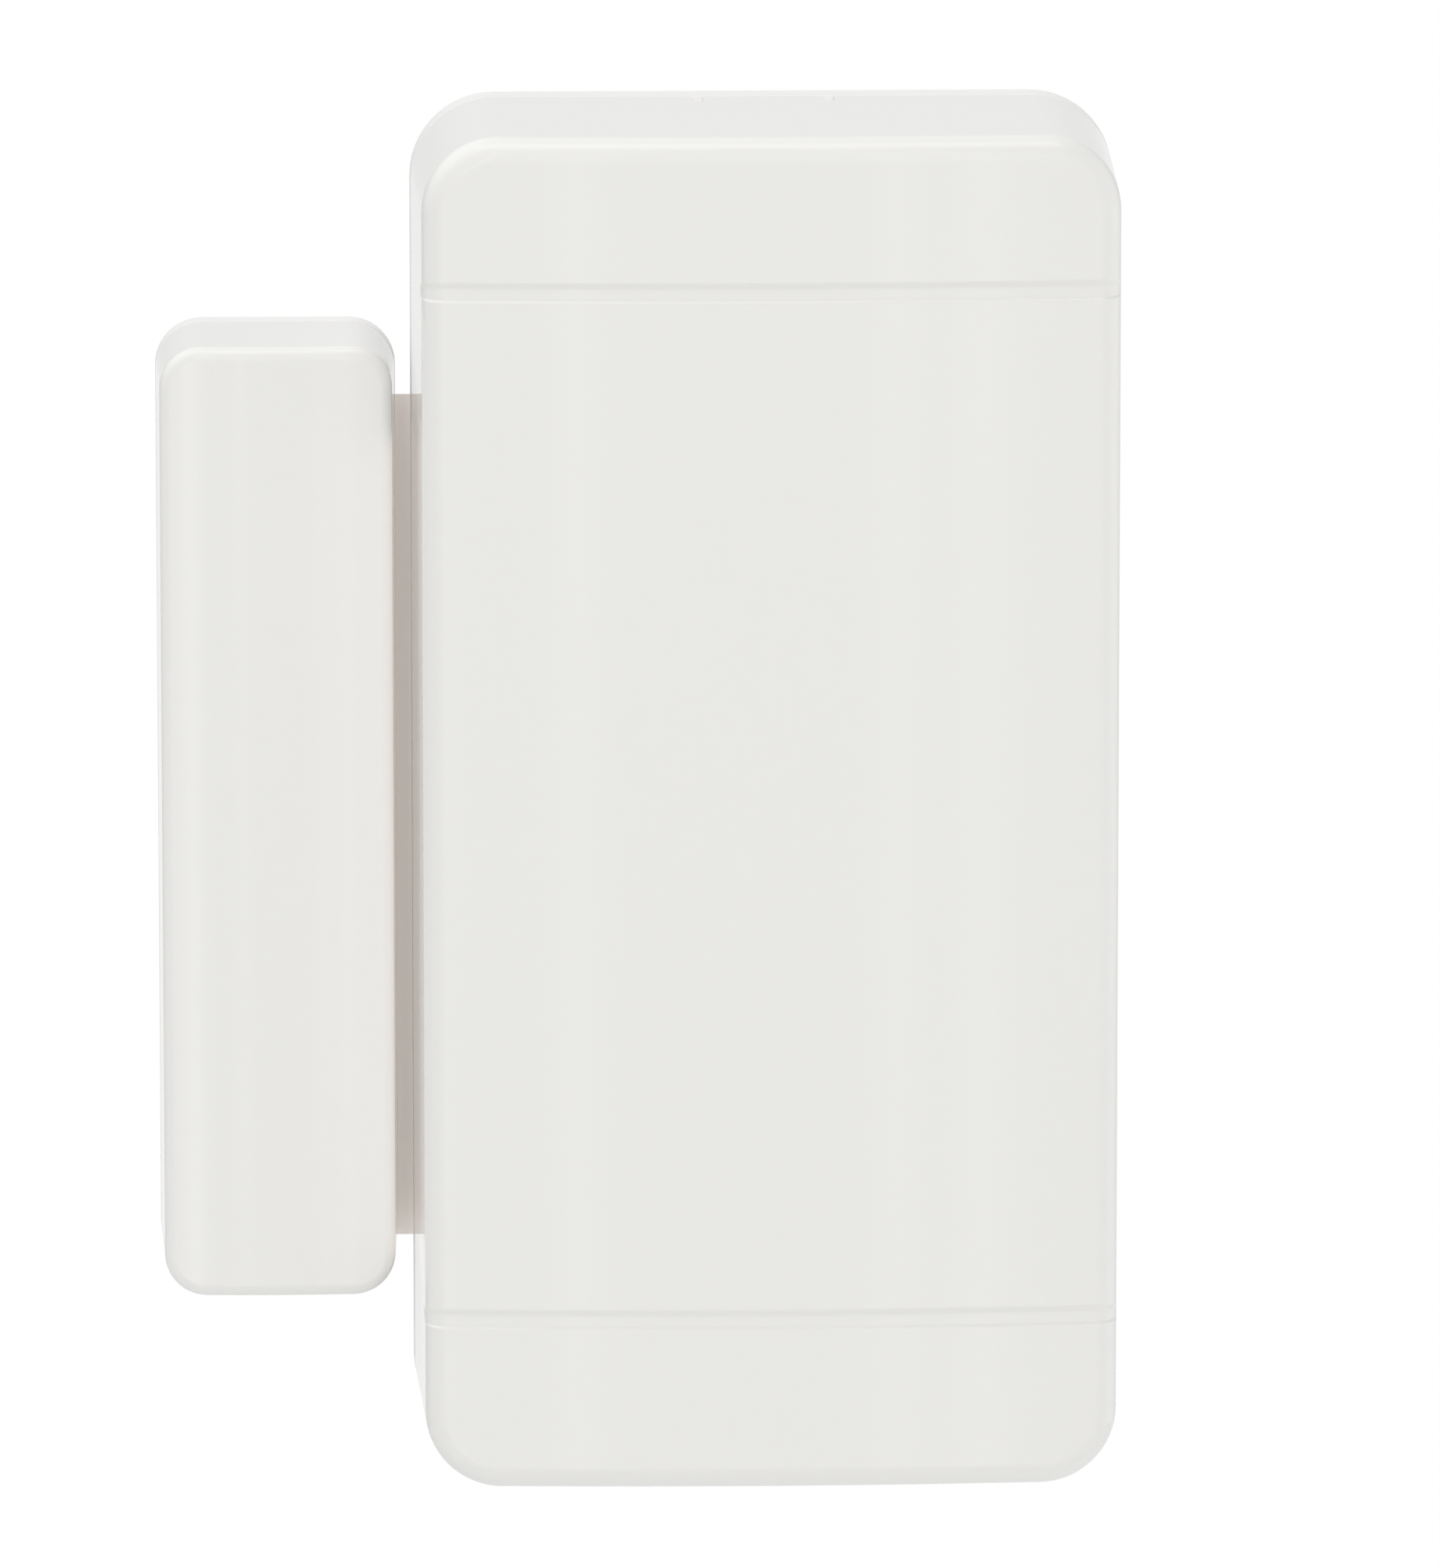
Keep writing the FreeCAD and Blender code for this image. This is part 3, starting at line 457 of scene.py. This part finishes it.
def finishMaterial(name, changes):
    values = {**plainFinish, **changes}
    material, tree, shader = newMaterial(name)
    shader.inputs["Base Color"].default_value = (*values["color"], 1)
    shader.inputs["Metallic"].default_value = values["metallic"]
    shader.inputs["IOR"].default_value = values["ior"]
    shader.inputs["Transmission Weight"].default_value = values["transmission"]
    surface = tree.nodes.new("ShaderNodeGroup")
    surface.node_tree = moulded
    surface.inputs["Roughness"].default_value = values["roughness"]
    surface.inputs["Spread"].default_value = values["spread"]
    tree.links.new(surface.outputs["Roughness"], shader.inputs["Roughness"])
    bump = tree.nodes.new("ShaderNodeBump")
    bump.inputs["Strength"].default_value = values["bump"]
    bump.inputs["Distance"].default_value = bumpDistance
    tree.links.new(surface.outputs["Height"], bump.inputs["Height"])
    tree.links.new(bump.outputs["Normal"], shader.inputs["Normal"])
    return material


finishes = {
    "coverWhite": {"color": (0.79, 0.785, 0.765), "roughness": 0.075, "spread": 0.02, "bump": 0.02},
    "plateWhite": {"color": (0.82, 0.815, 0.80), "roughness": 0.3, "spread": 0.05, "bump": 0.03},
    "boardGreen": {"color": (0.02, 0.16, 0.06), "roughness": 0.3, "bump": 0.1},
    "screwSteel": {"color": (0.62, 0.62, 0.60), "metallic": 1.0, "roughness": 0.3},
    "cellSleeve": {"color": (0.05, 0.08, 0.16), "metallic": 0.4, "roughness": 0.35},
    "springSteel": {"color": (0.66, 0.65, 0.62), "metallic": 1.0, "roughness": 0.28},
    "contactNickel": {"color": (0.70, 0.69, 0.64), "metallic": 1.0, "roughness": 0.25},
    "reedGlass": {"color": (0.55, 0.78, 0.66), "roughness": 0.05, "transmission": 0.9, "bump": 0.0},
    "reedMetal": {"color": (0.60, 0.60, 0.58), "metallic": 1.0, "roughness": 0.3},
    "chipBlack": {"color": (0.02, 0.02, 0.021), "roughness": 0.55, "bump": 0.3},
    "leadTin": {"color": (0.72, 0.72, 0.70), "metallic": 1.0, "roughness": 0.35},
    "canMetal": {"color": (0.66, 0.66, 0.63), "metallic": 1.0, "roughness": 0.3},
    "capacitorMetal": {"color": (0.74, 0.74, 0.74), "metallic": 1.0, "roughness": 0.4},
    "ledRed": {"color": (0.6, 0.02, 0.02), "roughness": 0.12, "transmission": 0.5, "bump": 0.0},
    "aerialMetal": {"color": (0.72, 0.50, 0.26), "metallic": 1.0, "roughness": 0.3},
    "resistorDark": {"color": (0.03, 0.03, 0.035), "roughness": 0.25},
    "capacitorTan": {"color": (0.42, 0.30, 0.18), "roughness": 0.5},
    "magnetDark": {"color": (0.08, 0.08, 0.082), "metallic": 0.3, "roughness": 0.55, "bump": 0.4},
}
materials = {name: finishMaterial(name, values) for name, values in finishes.items()}

nodeFinish = {
    "front_cover": "coverWhite",
    "back_plate": "plateWhite",
    "circuit_board": "boardGreen",
    "board_screws": "screwSteel",
    "battery_cell": "cellSleeve",
    "battery_spring": "springSteel",
    "negative_contact": "contactNickel",
    "positive_contact": "contactNickel",
    "reed_glass": "reedGlass",
    "reed_blades": "reedMetal",
    "encoder_chip": "chipBlack",
    "encoder_leads": "leadTin",
    "resonator_can": "canMetal",
    "radio_transistor": "chipBlack",
    "voltage_regulator": "chipBlack",
    "bulk_capacitor": "capacitorMetal",
    "status_led": "ledRed",
    "antenna_loop": "aerialMetal",
    "chip_resistors": "resistorDark",
    "chip_capacitors": "capacitorTan",
    "magnet_cover": "coverWhite",
    "magnet_plate": "plateWhite",
    "bar_magnet": "magnetDark",
}
for node, finish in nodeFinish.items():
    nodes[node].data.materials.clear()
    nodes[node].data.materials.append(materials[finish])
print("materials", len(materials))

frontShell = makeCover("frontShell", "front_cover", transmitter)
magnetShell = makeCover("magnetShell", "magnet_cover", magnetCase)
for piece in (frontShell, magnetShell):
    piece.data.materials.append(materials["coverWhite"])
print("covers", len(frontShell.data.polygons), len(magnetShell.data.polygons))


# Stage

stageValues = {
    "floorDrop": 0.25,
    "floorRadius": 0.55,
    "floorColor": (0.86, 0.86, 0.86),
    "gapStripX": (-0.0194, -0.0174),
    "gapStripZ": (-0.0247, 0.0193),
    "gapStripY": 0.0004,
    # the gap wall's warm tint is painted shade, and its glow is painted light
    "gapShadeTint": (0.80, 0.74, 0.70),
    "gapPaintedGlow": 0.205,
    "gapFillX": -0.0184,
    "gapFillY": (-0.0125, -0.0015),
    "gapFillZ": (-0.024, 0.0185),
    "gapFillGlow": 0.3,
    "roughness": 0.8,
    "fillRoughness": 0.5,
}


def stand(name, data, material):
    # A piece of the stage, which is no part of the object
    data.materials.append(material)
    thing = bpy.data.objects.new(name, data)
    scene.collection.objects.link(thing)
    return thing


def sheet(name, corners):
    data = bpy.data.meshes.new(name)
    data.from_pydata(corners, [], [(0, 1, 2, 3)])
    return data


def stageMaterial(name, color, roughness, glowColor=(1, 1, 1), glow=0.0):
    material, tree, shader = newMaterial(name)
    shader.inputs["Base Color"].default_value = (*color, 1)
    shader.inputs["Roughness"].default_value = roughness
    shader.inputs["Emission Color"].default_value = (*glowColor, 1)
    shader.inputs["Emission Strength"].default_value = glow
    return material, tree, shader


def makeFloor():
    mesh = bmesh.new()
    bmesh.ops.create_circle(mesh, cap_ends=True, segments=96, radius=stageValues["floorRadius"])
    data = bpy.data.meshes.new("floor")
    mesh.to_mesh(data)
    mesh.free()
    material, tree, shader = stageMaterial("floorPale", stageValues["floorColor"], stageValues["roughness"])
    floor = stand("floor", data, material)
    floor.location = (0, 0, -stageValues["floorDrop"])


def makeGapStrip():
    # The wall behind, seen only in the narrow gap between the two cases, and clear from the back. Its warm
    # tint is painted shade and its glow is painted light, which set how bright the shaded gap looks
    lowX, highX = stageValues["gapStripX"]
    lowZ, highZ = stageValues["gapStripZ"]
    y = stageValues["gapStripY"]
    color = stageValues["gapShadeTint"]
    data = sheet("gapPaintedShade", [(lowX, y, lowZ), (highX, y, lowZ), (highX, y, highZ), (lowX, y, highZ)])
    material, tree, shader = stageMaterial("gapPaintedShade", color, stageValues["roughness"], color,
                                           stageValues["gapPaintedGlow"])
    geometry = tree.nodes.new("ShaderNodeNewGeometry")
    clear = tree.nodes.new("ShaderNodeBsdfTransparent")
    mixed = tree.nodes.new("ShaderNodeMixShader")
    tree.links.new(geometry.outputs["Backfacing"], mixed.inputs["Fac"])
    tree.links.new(shader.outputs["BSDF"], mixed.inputs[1])
    tree.links.new(clear.outputs["BSDF"], mixed.inputs[2])
    tree.links.new(mixed.outputs["Shader"], tree.nodes["Material Output"].inputs["Surface"])
    stand("gapPaintedShade", data, material)


def makeGapFill():
    # A thin sheet of soft light that stands in the gap, lights both walls and isn't seen itself
    x = stageValues["gapFillX"]
    lowY, highY = stageValues["gapFillY"]
    lowZ, highZ = stageValues["gapFillZ"]
    data = sheet("gapFill", [(x, lowY, lowZ), (x, highY, lowZ), (x, highY, highZ), (x, lowY, highZ)])
    material, tree, shader = stageMaterial("gapFill", stageValues["gapShadeTint"], stageValues["fillRoughness"],
                                           glow=stageValues["gapFillGlow"])
    fill = stand("gapFill", data, material)
    fill.visible_camera = False
    fill.visible_shadow = False


makeFloor()
makeGapStrip()
makeGapFill()
print("stage")


# Light

worldEven = 1.32

# Smooth patches of light: the way each lies in, how narrow it is and how strong
worldLobes = {
    "above": {"way": (0, 0, 1), "narrow": 1.0, "strength": -0.22},
    "aboveLeft": {"way": (-0.7, 0, 0.7), "narrow": 3.0, "strength": 0.9},
    "aboveRight": {"way": (0.7, 0, 0.7), "narrow": 3.0, "strength": -0.8},
    "frontAbove": {"way": (0, -0.7, 0.7), "narrow": 3.0, "strength": -0.49},
    "front": {"way": (0, -1, 0), "narrow": 4.0, "strength": 1.16},
    "frontBelow": {"way": (0, -0.8, -0.6), "narrow": 4.0, "strength": -0.8},
    "frontLeft": {"way": (-0.7, -0.7, 0), "narrow": 4.0, "strength": -0.8},
    "frontRight": {"way": (0.7, -0.7, 0), "narrow": 4.0, "strength": -0.75},
    "left": {"way": (-1, 0, 0), "narrow": 4.0, "strength": -0.8},
    "right": {"way": (1, 0, 0), "narrow": 4.0, "strength": 0.69},
    "back": {"way": (0, 1, 0.2), "narrow": 4.0, "strength": -0.34},
    "backLeft": {"way": (-0.7, 0.7, 0), "narrow": 6.0, "strength": -0.8},
    "backRight": {"way": (0.7, 0.7, 0), "narrow": 6.0, "strength": -0.56},
}

# Tall bright panes in front: how far each is turned to the right, how wide it is and how it glows
worldBands = {
    "edgePane": {"turn": -12.0, "wide": 1.5, "glow": 1.2},
    "leftPane": {"turn": -4.9, "wide": 0.5, "glow": 0.75},
    "rightPane": {"turn": 6.7, "wide": 0.6, "glow": 0.6},
    "farPane": {"turn": 9.8, "wide": 0.9, "glow": 0.6},
}


def facing(tree, place, way):
    # How far a direction seen from the object lies towards the given way
    node = tree.nodes.new("ShaderNodeVectorMath")
    node.operation = "DOT_PRODUCT"
    tree.links.new(place.outputs["Generated"], node.inputs[0])
    node.inputs[1].default_value = way
    return node.outputs["Value"]


def makeWorld():
    # A soft room of smooth patches of light, and plain white to the camera and through glass
    world = bpy.data.worlds.new("studio")
    scene.world = world
    world.use_nodes = True
    tree = world.node_tree
    background = tree.nodes["Background"]
    place = tree.nodes.new("ShaderNodeTexCoord")
    total = worldEven
    for lobe in worldLobes.values():
        towards = mathNode(tree, "MAXIMUM", facing(tree, place, Vector(lobe["way"]).normalized()), 0.0)
        shaped = mathNode(tree, "POWER", towards, lobe["narrow"])
        total = mathNode(tree, "MULTIPLY_ADD", shaped, lobe["strength"], total)
    for band in worldBands.values():
        turn = math.radians(band["turn"])
        aside = facing(tree, place, (math.cos(turn), math.sin(turn), 0))
        ahead = mathNode(tree, "MAXIMUM", facing(tree, place, (math.sin(turn), -math.cos(turn), 0)), 0.0)
        part = mathNode(tree, "MULTIPLY", aside, 1 / math.sin(math.radians(band["wide"])))
        squared = mathNode(tree, "MULTIPLY", part, part)
        faded = mathNode(tree, "POWER", math.exp(-1), squared)
        total = mathNode(tree, "MULTIPLY_ADD", mathNode(tree, "MULTIPLY", faded, ahead), band["glow"], total)
    path = tree.nodes.new("ShaderNodeLightPath")
    plain = mathNode(tree, "MAXIMUM", path.outputs["Is Camera Ray"], path.outputs["Is Transmission Ray"])
    seen = tree.nodes.new("ShaderNodeMix")
    seen.data_type = "RGBA"
    seen.inputs["B"].default_value = (1, 1, 1, 1)
    tree.links.new(plain, seen.inputs["Factor"])
    tree.links.new(total, seen.inputs["A"])
    tree.links.new(seen.outputs["Result"], background.inputs["Color"])
    background.inputs["Strength"].default_value = 1.0


lights = {
    "topSoft": {"place": (0.0, -0.14, 0.68), "aim": (0, 0, 0), "size": (0.55, 0.34), "power": 0.66},
}


def makeLight(name, values):
    data = bpy.data.lights.new(name, "AREA")
    data.shape = "RECTANGLE"
    data.size, data.size_y = values["size"]
    data.energy = values["power"]
    light = bpy.data.objects.new(name, data)
    light.location = values["place"]
    way = Vector(values["aim"]) - Vector(values["place"])
    light.rotation_euler = way.to_track_quat("-Z", "Y").to_euler()
    scene.collection.objects.link(light)


makeWorld()
for name, values in lights.items():
    makeLight(name, values)
print("light", len(lights))


# Camera, with its place in millimetres and its turns in degrees

cameraValues = {
    "place": (-26.69, -720.0, 123.34),
    "yaw": 1.958,
    "pitch": 9.796,
    "roll": -0.009,
    "focalPixels": 18187.0,
    "imageWidth": 1848,
    "nearest": 0.01,
    "farthest": 20,
    "sensor": 36.0,
}


def makeCamera():
    data = bpy.data.cameras.new("photoCamera")
    data.sensor_fit = "HORIZONTAL"
    data.sensor_width = cameraValues["sensor"]
    data.lens = cameraValues["focalPixels"] / cameraValues["imageWidth"] * cameraValues["sensor"]
    data.clip_start = cameraValues["nearest"]
    data.clip_end = cameraValues["farthest"]
    camera = bpy.data.objects.new("photoCamera", data)
    yaw = math.radians(cameraValues["yaw"])
    pitch = math.radians(cameraValues["pitch"])
    roll = math.radians(cameraValues["roll"])
    ahead = Vector((math.sin(yaw) * math.cos(pitch), math.cos(yaw) * math.cos(pitch), -math.sin(pitch)))
    right = ahead.cross(Vector((0, 0, 1))).normalized()
    top = right.cross(ahead)
    rightTurned = right * math.cos(roll) + top * math.sin(roll)
    topTurned = top * math.cos(roll) - right * math.sin(roll)
    turn = Matrix((rightTurned, topTurned, -ahead)).transposed()
    camera.matrix_world = Matrix.Translation(Vector(cameraValues["place"]) * millimetre) @ turn.to_4x4()
    scene.collection.objects.link(camera)
    scene.camera = camera


makeCamera()
scene.view_settings.view_transform = "Standard"
print("camera")
